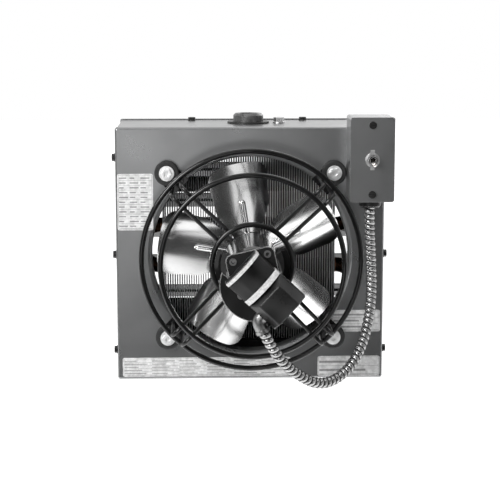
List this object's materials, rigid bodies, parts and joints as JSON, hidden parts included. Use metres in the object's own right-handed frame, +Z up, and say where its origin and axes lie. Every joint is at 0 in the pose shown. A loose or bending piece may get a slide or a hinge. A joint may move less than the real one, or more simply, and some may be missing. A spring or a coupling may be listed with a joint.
{
  "type": "unit heater",
  "caption": "Box-shaped hydronic unit heater with a guarded rear fan and motor, finned coil, front louvers, top pipe hub, switch box and flexible conduit.",
  "frame": {"origin": "centre of the mouth of the top pipe hub", "axes": "+Z up along the pipe hub, +Y towards the air outlet, -Y is the motor side"},
  "size_m": [0.3397, 0.324, 0.3403],
  "materials": {
    "case_paint": "gloss grey enamel",
    "black_screw": "black oxide",
    "fin_aluminium": "mill finish",
    "copper": "drawn copper",
    "galvanised": "galvanised",
    "black_iron": "black malleable iron",
    "zinc": "bright zinc plate",
    "guard_black": "gloss black enamel",
    "rubber": "matt",
    "fan_aluminium": "bright rolled",
    "steel": "ground",
    "bronze": "sintered",
    "plate_grey": "satin dark grey",
    "black_plastic": "moulded",
    "white_band": "printed strip, plain",
    "conduit_zinc": "zinc strip",
    "box_steel": "pregalvanised",
    "nickel": "nickel plate"
  },
  "bodies": {
    "housing": {"case_wrapper": "case_paint", "rear_panel": "case_paint", "front_frame": "case_paint", "side_screws": "black_screw", "frame_screws": "black_screw", "cover_screws": "black_screw", "box_screws": "black_screw", "coil_fins": "fin_aluminium", "coil_tubes": "copper", "coil_return_bends": "copper", "coil_risers": "copper", "motor_windings": "copper", "coil_end_plates": "galvanised", "supply_hub": "black_iron", "return_hub": "black_iron", "pipe_flanges": "black_iron", "bracket_bolt": "zinc", "corner_bolts": "zinc", "corner_nuts": "zinc", "motor_connector": "zinc", "toggle_washer": "zinc", "toggle_nut": "zinc", "motor_rivets": "zinc", "guard_outer_ring": "guard_black", "guard_middle_ring": "guard_black", "guard_motor_ring": "guard_black", "guard_spokes": "guard_black", "guard_feet": "guard_black", "motor_plate": "guard_black", "motor_shell": "guard_black", "motor_front_bell": "guard_black", "corner_grommets": "rubber", "motor_isolators": "rubber", "motor_stator": "steel", "motor_bearings": "bronze", "motor_rear_plate": "plate_grey", "lead_cover": "black_plastic", "motor_conduit_box": "black_plastic", "toggle_body": "black_plastic", "box_connector": "black_plastic", "lead_cover_bands": "white_band", "conduit": "conduit_zinc", "switch_box": "box_steel", "switch_cover": "box_steel"},
    "fan": {"fan_blades": "fan_aluminium", "fan_hub": "steel", "fan_set_screw": "steel", "motor_shaft": "steel", "motor_rotor": "steel"},
    "toggle": {"toggle_lever": "nickel"},
    "louver_1": {"louver_1": "case_paint"},
    "louver_2": {"louver_2": "case_paint"},
    "louver_3": {"louver_3": "case_paint"},
    "louver_4": {"louver_4": "case_paint"},
    "louver_5": {"louver_5": "case_paint"},
    "louver_6": {"louver_6": "case_paint"},
    "louver_7": {"louver_7": "case_paint"}
  },
  "joints": [
    {"name": "fan_spin", "type": "hinge", "parent": "housing", "child": "fan", "pos_m": [0, -0.0885, -0.168], "axis": [0, -1, 0], "continuous": true},
    {"name": "toggle_flip", "type": "hinge", "parent": "housing", "child": "toggle", "pos_m": [0.1441, -0.1377, -0.0464], "axis": [-1, 0, 0], "range_deg": [0, 26]},
    {"name": "louver_1_turn", "type": "hinge", "parent": "housing", "child": "louver_1", "pos_m": [0, 0.0435, -0.0359], "axis": [1, 0, 0], "range_deg": [-10, 80]},
    {"name": "louver_2_turn", "type": "hinge", "parent": "housing", "child": "louver_2", "pos_m": [0, 0.0435, -0.0761], "axis": [1, 0, 0], "range_deg": [-10, 80]},
    {"name": "louver_3_turn", "type": "hinge", "parent": "housing", "child": "louver_3", "pos_m": [0, 0.0435, -0.1163], "axis": [1, 0, 0], "range_deg": [-10, 80]},
    {"name": "louver_4_turn", "type": "hinge", "parent": "housing", "child": "louver_4", "pos_m": [0, 0.0435, -0.1565], "axis": [1, 0, 0], "range_deg": [-10, 80]},
    {"name": "louver_5_turn", "type": "hinge", "parent": "housing", "child": "louver_5", "pos_m": [0, 0.0435, -0.1967], "axis": [1, 0, 0], "range_deg": [-10, 80]},
    {"name": "louver_6_turn", "type": "hinge", "parent": "housing", "child": "louver_6", "pos_m": [0, 0.0435, -0.2369], "axis": [1, 0, 0], "range_deg": [-10, 80]},
    {"name": "louver_7_turn", "type": "hinge", "parent": "housing", "child": "louver_7", "pos_m": [0, 0.0435, -0.2771], "axis": [1, 0, 0], "range_deg": [-10, 80]}
  ]
}
